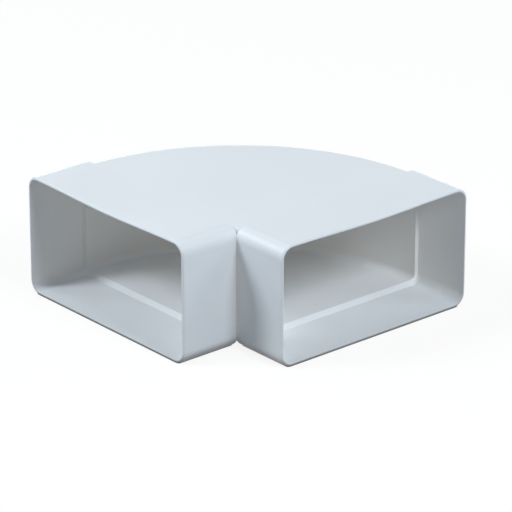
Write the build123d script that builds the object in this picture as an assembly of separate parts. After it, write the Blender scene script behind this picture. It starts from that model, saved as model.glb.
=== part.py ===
from build123d import *
import os

# Flat duct that pushes into each socket, outside sizes
duct_width = 110.0
duct_height = 55.0
duct_wall = 1.4

# Room round the duct on each side, at the foot of its stop and at the mouth
seat_clearance = 0.3
mouth_clearance = 1.3

# Moulded wall, its outer edges, and the outer edge of each lip
wall = 2.2
outer_radius = 6.6
lip_round = 1.0

# Sink of the upper lip at mid width, where the wide wall is free
roof_sink = 1.0

# Socket, measured along the duct from its mouth to the bend's inner corner
socket_reach = 31.5

# Stop inside: a ramp on floor and roof up to the bend, and a steep step on each side wall
ramp_length = 2.7
side_step_length = 0.5
side_step_setback = 0.6

# Shoulder outside, where the socket steps down to the bend
shoulder_past_corner = 1.3
shoulder_bevel = 0.6

# Turn of the bend, and of each rounded corner of a section
quarter_turn = 90

# Sizes that follow from the duct and the wall
shoulder_step = seat_clearance + duct_wall
seat_width = duct_width + 2 * seat_clearance
seat_height = duct_height + 2 * seat_clearance
mouth_width = duct_width + 2 * mouth_clearance
mouth_height = duct_height + 2 * mouth_clearance
socket_width = seat_width + 2 * wall
socket_height = seat_height + 2 * wall
bend_width = socket_width - 2 * shoulder_step
bend_height = socket_height - 2 * shoulder_step
throat_width = bend_width - 2 * wall
throat_height = bend_height - 2 * wall
mouth_radius = outer_radius - (socket_width - mouth_width) / 2
seat_radius = outer_radius - wall
bend_radius = outer_radius - shoulder_step
throat_radius = bend_radius - wall

# Frame: the middle of the floor under the part, with mouths facing -Y and +X
corner = (socket_width - socket_reach) / 2
mid_x = corner - socket_width / 2
mid_z = socket_height / 2
throat_y = -corner
mouth_y = throat_y - socket_reach
seat_y = throat_y - ramp_length
step_top_y = throat_y - side_step_setback
step_foot_y = step_top_y - side_step_length
shoulder_y = throat_y + shoulder_past_corner
bend_axis = Axis((corner, throat_y, 0), (0, 0, -1))
symmetry_plane = Plane(origin=(0, 0, 0), z_dir=(1, 1, 0))


def section(y, width, height, radius, sink=0.0):
    """Rounded duct section across the -Y socket, its roof sunk at mid width."""
    half_width = width / 2
    half_height = height / 2
    floor_end = half_width - radius
    side_end = half_height - radius
    floor = Line((-floor_end, -half_height), (floor_end, -half_height))
    low_right = JernArc(floor @ 1, floor % 1, radius, quarter_turn)
    right = Line(low_right @ 1, (half_width, side_end))
    high_right = JernArc(right @ 1, right % 1, radius, quarter_turn)
    roof = Line(high_right @ 1, (-floor_end, half_height))
    if sink:
        low_point = (0, half_height - sink)
        roof = Spline(roof @ 0, low_point, roof @ 1, tangents=[roof % 0, roof % 1])
    high_left = JernArc(roof @ 1, roof % 1, radius, quarter_turn)
    left = Line(high_left @ 1, (-half_width, -side_end))
    low_left = JernArc(left @ 1, left % 1, radius, quarter_turn)
    outline = [floor, low_right, right, high_right, roof, high_left, left, low_left]
    return Plane.XZ * Pos(mid_x, mid_z, -y) * make_face(Curve() + outline)


def ramp_gap(y):
    """Height left between the ramps on floor and roof."""
    risen = (y - seat_y) / ramp_length
    return seat_height - 2 * shoulder_step * risen


def socket_outside():
    """Socket from its mouth to the bevelled shoulder."""
    mouth = section(mouth_y, socket_width, socket_height, outer_radius, roof_sink)
    shoulder = section(shoulder_y, socket_width, socket_height, outer_radius)
    socket = loft([mouth, shoulder], ruled=True)
    return chamfer(socket.faces().sort_by(Axis.Y)[-1].edges(), shoulder_bevel)


def socket_bore():
    """Room for the duct, tapering from the mouth to its stop and on up to the bend."""
    mouth = section(mouth_y, mouth_width, mouth_height, mouth_radius, roof_sink)
    seat = section(seat_y, seat_width, seat_height, seat_radius)
    step_foot = section(step_foot_y, seat_width, ramp_gap(step_foot_y), seat_radius)
    step_top = section(step_top_y, throat_width, ramp_gap(step_top_y), throat_radius)
    throat = section(throat_y, throat_width, throat_height, throat_radius)
    return loft([mouth, seat, step_foot, step_top, throat], ruled=True)


def bend(width, height, radius):
    """Quarter turn of a section about the inner corner between the sockets."""
    return revolve(section(throat_y, width, height, radius), bend_axis, quarter_turn)


def both_ways(socket):
    return socket + mirror(socket, symmetry_plane)


outside = bend(bend_width, bend_height, bend_radius) + both_ways(socket_outside())
inside = bend(throat_width, throat_height, throat_radius) + both_ways(socket_bore())
duct_bend = outside - inside

for mouth_axis in (-Axis.Y, Axis.X):
    lip = duct_bend.faces().sort_by(mouth_axis)[-1]
    duct_bend = fillet(lip.outer_wire().edges(), lip_round)

os.makedirs("parts", exist_ok=True)
export_step(duct_bend, "parts/duct_bend.step")
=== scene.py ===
import math

import bpy
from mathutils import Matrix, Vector

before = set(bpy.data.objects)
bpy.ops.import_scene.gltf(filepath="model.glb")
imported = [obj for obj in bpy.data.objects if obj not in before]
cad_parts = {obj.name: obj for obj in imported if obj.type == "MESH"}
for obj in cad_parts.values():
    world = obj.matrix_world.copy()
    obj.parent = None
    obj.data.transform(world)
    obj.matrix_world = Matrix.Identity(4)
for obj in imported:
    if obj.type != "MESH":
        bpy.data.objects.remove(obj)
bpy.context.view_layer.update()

# Camera, from the vanishing points of the photograph's mouths
VIEW_AZIMUTH = 49.42
VIEW_ELEVATION = 22.79
VIEW_DISTANCE = 1.649
VIEW_AIM = Vector((0.0184, -0.0100, 0.0300))
VIEW_END = 50.0
LENS_MM = 248.15
SENSOR_MM = 36.0

# White moulded plastic, cool outside, with painted light and shade: a painted shade darkens the flat top, a painted
# light makes the inside lighter and warmer, and a cool pale painted light lies on the floors inside; edges get grey
# wear that is also painted shade on the lips, and the foot gets a dark painted shade
OPEN_COLOR = (0.715, 0.765, 0.80, 1.0)
PAINTED_TOP_SHADE_COLOR = (0.676, 0.726, 0.745, 1.0)
PAINTED_INSIDE_LIGHT_COLOR = (0.87, 0.85, 0.818, 1.0)
PAINTED_FLOOR_LIGHT_COLOR = (0.84, 0.89, 0.925, 1.0)
CLOUDED_COLOR = (0.96, 0.965, 0.97, 1.0)
WORN_AND_SHADED_EDGE_COLOR = (0.62, 0.66, 0.70, 1.0)
PAINTED_FOOT_SHADE_COLOR = (0.27, 0.29, 0.31, 1.0)
CLOUD_SHARE = 0.35
ROUGHNESS = (0.38, 0.46)

# How far away a surface still counts as cover for the painted inside light, the floor still deepens the painted
# shade at the foot, and an edge still gets the worn grey that is partly painted shade
SHELTER_REACH = 0.15
FOOT_REACH = 0.01
WEAR_REACH = 0.0007

# Where one tint passes into the next, by openness, by how far the surface faces up, by cover and by turn
INSIDE_TO_OUTSIDE = (0.4, 0.58)
DEEP_TO_PAINTED_FLOOR_LIGHT = (0.06, 0.14)
WALL_TO_FLOOR = (0.3, 0.9)
EDGE_TO_TOP = (0.95, 0.99)
LIT_TO_PAINTED_FOOT_SHADE = (0.25, 0.65)
FACE_TO_EDGE = (0.995, 0.85)

# Soft studio light, a little cool. Lamps: name, azimuth and elevation in degrees, width, height, power
LIGHT_COLOR = (0.96, 1.0, 1.045)
AMBIENT_STRENGTH = 0.17
LAMP_DISTANCE = 2.0
LAMPS = (
    ("front", -30, 40, 0.6, 0.6, 20.4),
    ("left", -60, 34, 0.6, 0.6, 5.4),
    ("right", 90, 40, 0.6, 0.6, 20.0),
    ("back right", 142, 36, 0.8, 0.8, 6.3),
    ("low back", 205, 5, 1.0, 0.3, 4.8),
    ("low back left", 245, 5, 1.0, 0.3, 4.8),
)

# Floor and backdrop, with the floor's shadow deepest in the gap under the part, where it is partly painted shadow
FLOOR_SIZE = 8.0
FLOOR_COLOR = (0.35, 0.35, 0.35, 1.0)
WHITE = (1.0, 1.0, 1.0, 1.0)
PAINTED_GAP_SHADOW_COLOR = (0.12, 0.12, 0.13, 1.0)
OPEN_SHADOW_SHARE = 0.12
CONTACT_SHADOW_SHARE = 0.95
CONTACT_REACH = 0.0006
CONTACT_TO_OPEN = (0.5, 0.9)
GAP_TO_OPEN = (0.55, 0.9)


def direction(azimuth, elevation):
    """Unit vector from the part towards a place at that bearing and height, both in degrees."""
    bearing, height = math.radians(azimuth), math.radians(elevation)
    flat = math.cos(height)
    return Vector((flat * math.sin(bearing), -flat * math.cos(bearing), math.sin(height)))


def place_facing(item, aim, towards, distance):
    """Puts a camera or lamp that far from the aim and turns it back to it."""
    item.location = aim + distance * towards
    item.rotation_euler = towards.to_track_quat("Z", "Y").to_euler()
    bpy.context.scene.collection.objects.link(item)


def make_camera():
    data = bpy.data.cameras.new("camera")
    data.lens = LENS_MM
    data.sensor_width = SENSOR_MM
    data.clip_end = VIEW_END
    camera = bpy.data.objects.new("camera", data)
    place_facing(camera, VIEW_AIM, direction(VIEW_AZIMUTH, VIEW_ELEVATION), VIEW_DISTANCE)
    bpy.context.scene.camera = camera


def add_noise(tree, place, scale, detail):
    """Noise in the part's own metres, so a scale of 100 has features of about 10 mm."""
    noise = tree.nodes.new("ShaderNodeTexNoise")
    noise.inputs["Scale"].default_value = scale
    noise.inputs["Detail"].default_value = detail
    tree.links.new(place.outputs["Object"], noise.inputs["Vector"])
    return noise.outputs["Fac"]


def add_range(tree, value, old, new=(0.0, 1.0)):
    """The value moved from one range to another, and held at its ends."""
    moved = tree.nodes.new("ShaderNodeMapRange")
    for name, number in zip(("From Min", "From Max", "To Min", "To Max"), (*old, *new)):
        moved.inputs[name].default_value = number
    tree.links.new(value, moved.inputs["Value"])
    return moved.outputs["Result"]


def add_mix(tree, factor, first, second, blend="MIX"):
    """Two colours mixed, each given as a colour or as the output of a node."""
    mix = tree.nodes.new("ShaderNodeMix")
    mix.data_type = "RGBA"
    mix.blend_type = blend
    for socket, value in ((mix.inputs["Factor"], factor), (mix.inputs[6], first), (mix.inputs[7], second)):
        if isinstance(value, bpy.types.NodeSocket):
            tree.links.new(value, socket)
        else:
            socket.default_value = value
    return mix.outputs[2]


def add_math(tree, operation, first, second):
    """Two values put together by a Math node's operation."""
    result = tree.nodes.new("ShaderNodeMath")
    result.operation = operation
    tree.links.new(first, result.inputs[0])
    tree.links.new(second, result.inputs[1])
    return result.outputs["Value"]


def add_openness(tree, reach, local):
    """Share of the sky over a point that nothing within reach covers, or only nothing of the same object."""
    cover = tree.nodes.new("ShaderNodeAmbientOcclusion")
    cover.only_local = local
    cover.samples = 6
    cover.inputs["Distance"].default_value = reach
    return cover.outputs["AO"]


def add_upward(tree):
    """How far the surface faces up: 1 on floors, 0 on walls, -1 on roofs."""
    geometry = tree.nodes.new("ShaderNodeNewGeometry")
    split = tree.nodes.new("ShaderNodeSeparateXYZ")
    tree.links.new(geometry.outputs["Normal"], split.inputs["Vector"])
    return split.outputs["Z"]


def add_floor_cover(tree):
    """Share of the sky over a point that the floor takes, without what the part itself takes."""
    without_floor = add_openness(tree, FOOT_REACH, True)
    with_floor = add_openness(tree, FOOT_REACH, False)
    return add_math(tree, "SUBTRACT", without_floor, with_floor)


def add_edge_wear(tree):
    """How far the surface turns within a fraction of a millimetre: 0 on faces, 1 on sharp edges."""
    bevel = tree.nodes.new("ShaderNodeBevel")
    bevel.samples = 6
    bevel.inputs["Radius"].default_value = WEAR_REACH
    geometry = tree.nodes.new("ShaderNodeNewGeometry")
    turn = tree.nodes.new("ShaderNodeVectorMath")
    turn.operation = "DOT_PRODUCT"
    tree.links.new(bevel.outputs["Normal"], turn.inputs[0])
    tree.links.new(geometry.outputs["Normal"], turn.inputs[1])
    return add_range(tree, turn.outputs["Value"], FACE_TO_EDGE)


def add_bump(tree, height, strength, distance, normal=None):
    bump = tree.nodes.new("ShaderNodeBump")
    bump.inputs["Strength"].default_value = strength
    bump.inputs["Distance"].default_value = distance
    tree.links.new(height, bump.inputs["Height"])
    if normal:
        tree.links.new(normal, bump.inputs["Normal"])
    return bump.outputs["Normal"]


def make_plastic():
    """Satin white plastic, tinted by how open and how level the surface is, which paints light inside and shade on
    the top, with worn edges that also paint shade on the lips, a painted shade at the foot, a grain and a faint
    ripple.
    """
    material = bpy.data.materials.new("moulded_white")
    material.use_nodes = True
    tree = material.node_tree
    shader = tree.nodes["Principled BSDF"]
    place = tree.nodes.new("ShaderNodeTexCoord")

    openness = add_openness(tree, SHELTER_REACH, True)
    upward = add_upward(tree)
    lying = add_range(tree, upward, WALL_TO_FLOOR)
    # Painted light inside: a lighter, warmer colour where the surface is covered, and a cool pale colour on
    # up-facing floors that are not too deep, standing in for cool light falling on them.
    painted_floor_light = add_math(tree, "MULTIPLY", lying, add_range(tree, openness, DEEP_TO_PAINTED_FLOOR_LIGHT))
    inside = add_mix(tree, painted_floor_light, PAINTED_INSIDE_LIGHT_COLOR, PAINTED_FLOOR_LIGHT_COLOR)
    # Painted shade: the flat top is a little darker and less blue than the rest of the outside.
    outside = add_mix(tree, add_range(tree, upward, EDGE_TO_TOP), OPEN_COLOR, PAINTED_TOP_SHADE_COLOR)
    color = add_mix(tree, add_range(tree, openness, INSIDE_TO_OUTSIDE), inside, outside)

    cloud = add_range(tree, add_noise(tree, place, 22.0, 4.0), (0.35, 0.65))
    color = add_mix(tree, CLOUD_SHARE, color, add_mix(tree, cloud, CLOUDED_COLOR, WHITE), "MULTIPLY")
    patches = add_range(tree, add_noise(tree, place, 160.0, 6.0), (0.35, 0.65), (0.4, 0.85))
    # Grey worn patches on the edges, darkened also as painted shade on the mouths' lips.
    color = add_mix(tree, add_math(tree, "MULTIPLY", add_edge_wear(tree), patches), color, WORN_AND_SHADED_EDGE_COLOR)
    # Painted shade at the foot: dark where the floor covers the sky, standing in for the contact shadow.
    color = add_mix(tree, add_range(tree, add_floor_cover(tree), LIT_TO_PAINTED_FOOT_SHADE), color, PAINTED_FOOT_SHADE_COLOR)
    tree.links.new(color, shader.inputs["Base Color"])

    satin = add_range(tree, add_noise(tree, place, 130.0, 5.0), (0.3, 0.7), ROUGHNESS)
    tree.links.new(satin, shader.inputs["Roughness"])

    grain = add_bump(tree, add_noise(tree, place, 2400.0, 2.0), 0.08, 0.00003)
    ripple = add_bump(tree, add_noise(tree, place, 30.0, 2.0), 0.10, 0.0004, grain)
    tree.links.new(ripple, shader.inputs["Normal"])
    return material


def add_seen_directly(tree):
    """1 for what the camera sees, straight on or in a reflection, and 0 for light that is passed on."""
    path = tree.nodes.new("ShaderNodeLightPath")
    seen = path.outputs["Is Camera Ray"]
    for name in ("Is Glossy Ray", "Is Transmission Ray"):
        seen = add_math(tree, "MAXIMUM", seen, path.outputs[name])
    return seen


def add_shader_mix(tree, factor, first, second):
    mix = tree.nodes.new("ShaderNodeMixShader")
    tree.links.new(factor, mix.inputs["Fac"])
    tree.links.new(first, mix.inputs[1])
    tree.links.new(second, mix.inputs[2])
    return mix.outputs["Shader"]


def make_floor_material():
    """White where it is seen, with the part's shadow and a painted dark shadow in the gap under it, and grey for
    the light that it passes on to the part.
    """
    material = bpy.data.materials.new("floor")
    material.use_nodes = True
    tree = material.node_tree
    tree.nodes.remove(tree.nodes["Principled BSDF"])
    passed_on = tree.nodes.new("ShaderNodeBsdfDiffuse")
    passed_on.inputs["Color"].default_value = FLOOR_COLOR
    lit = tree.nodes.new("ShaderNodeBsdfDiffuse")
    glow = tree.nodes.new("ShaderNodeEmission")
    glow.inputs["Color"].default_value = WHITE
    glow.inputs["Strength"].default_value = 1.0

    contact = add_openness(tree, CONTACT_REACH, False)
    share = add_range(tree, contact, CONTACT_TO_OPEN, (CONTACT_SHADOW_SHARE, OPEN_SHADOW_SHARE))
    # Painted shadow: the floor's lit colour turns dark in the gap under the part.
    painted_gap_shadow = add_range(tree, contact, GAP_TO_OPEN)
    tree.links.new(add_mix(tree, painted_gap_shadow, PAINTED_GAP_SHADOW_COLOR, WHITE), lit.inputs["Color"])
    shown = add_shader_mix(tree, share, glow.outputs["Emission"], lit.outputs["BSDF"])
    choice = add_shader_mix(tree, add_seen_directly(tree), passed_on.outputs["BSDF"], shown)
    tree.links.new(choice, tree.nodes["Material Output"].inputs["Surface"])
    return material


def make_floor():
    mesh = bpy.data.meshes.new("floor")
    half = FLOOR_SIZE / 2
    corners = [(-half, -half, 0), (half, -half, 0), (half, half, 0), (-half, half, 0)]
    mesh.from_pydata(corners, [], [(0, 1, 2, 3)])
    mesh.materials.append(make_floor_material())
    floor = bpy.data.objects.new("floor", mesh)
    bpy.context.scene.collection.objects.link(floor)


def make_lamp(name, azimuth, elevation, width, height, power):
    data = bpy.data.lights.new(name, "AREA")
    data.shape = "ELLIPSE" if width == height else "RECTANGLE"
    data.size = width
    data.size_y = height
    data.energy = power
    data.color = LIGHT_COLOR
    lamp = bpy.data.objects.new(name, data)
    place_facing(lamp, Vector(), direction(azimuth, elevation), LAMP_DISTANCE)


def make_world():
    """A white backdrop where it is seen, and a weak even light on the part."""
    world = bpy.data.worlds.new("studio")
    world.use_nodes = True
    tree = world.node_tree
    ambient = tree.nodes["Background"]
    ambient.inputs["Color"].default_value = (*LIGHT_COLOR, 1.0)
    ambient.inputs["Strength"].default_value = AMBIENT_STRENGTH
    backdrop = tree.nodes.new("ShaderNodeBackground")
    backdrop.inputs["Color"].default_value = WHITE
    backdrop.inputs["Strength"].default_value = 1.0
    choice = add_shader_mix(
        tree, add_seen_directly(tree), ambient.outputs["Background"], backdrop.outputs["Background"])
    tree.links.new(choice, tree.nodes["World Output"].inputs["Surface"])
    bpy.context.scene.world = world


make_camera()
make_floor()
make_world()
for lamp in LAMPS:
    make_lamp(*lamp)

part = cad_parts["duct_bend"]
part.data.materials.clear()
part.data.materials.append(make_plastic())

bpy.context.scene.view_settings.view_transform = "Standard"
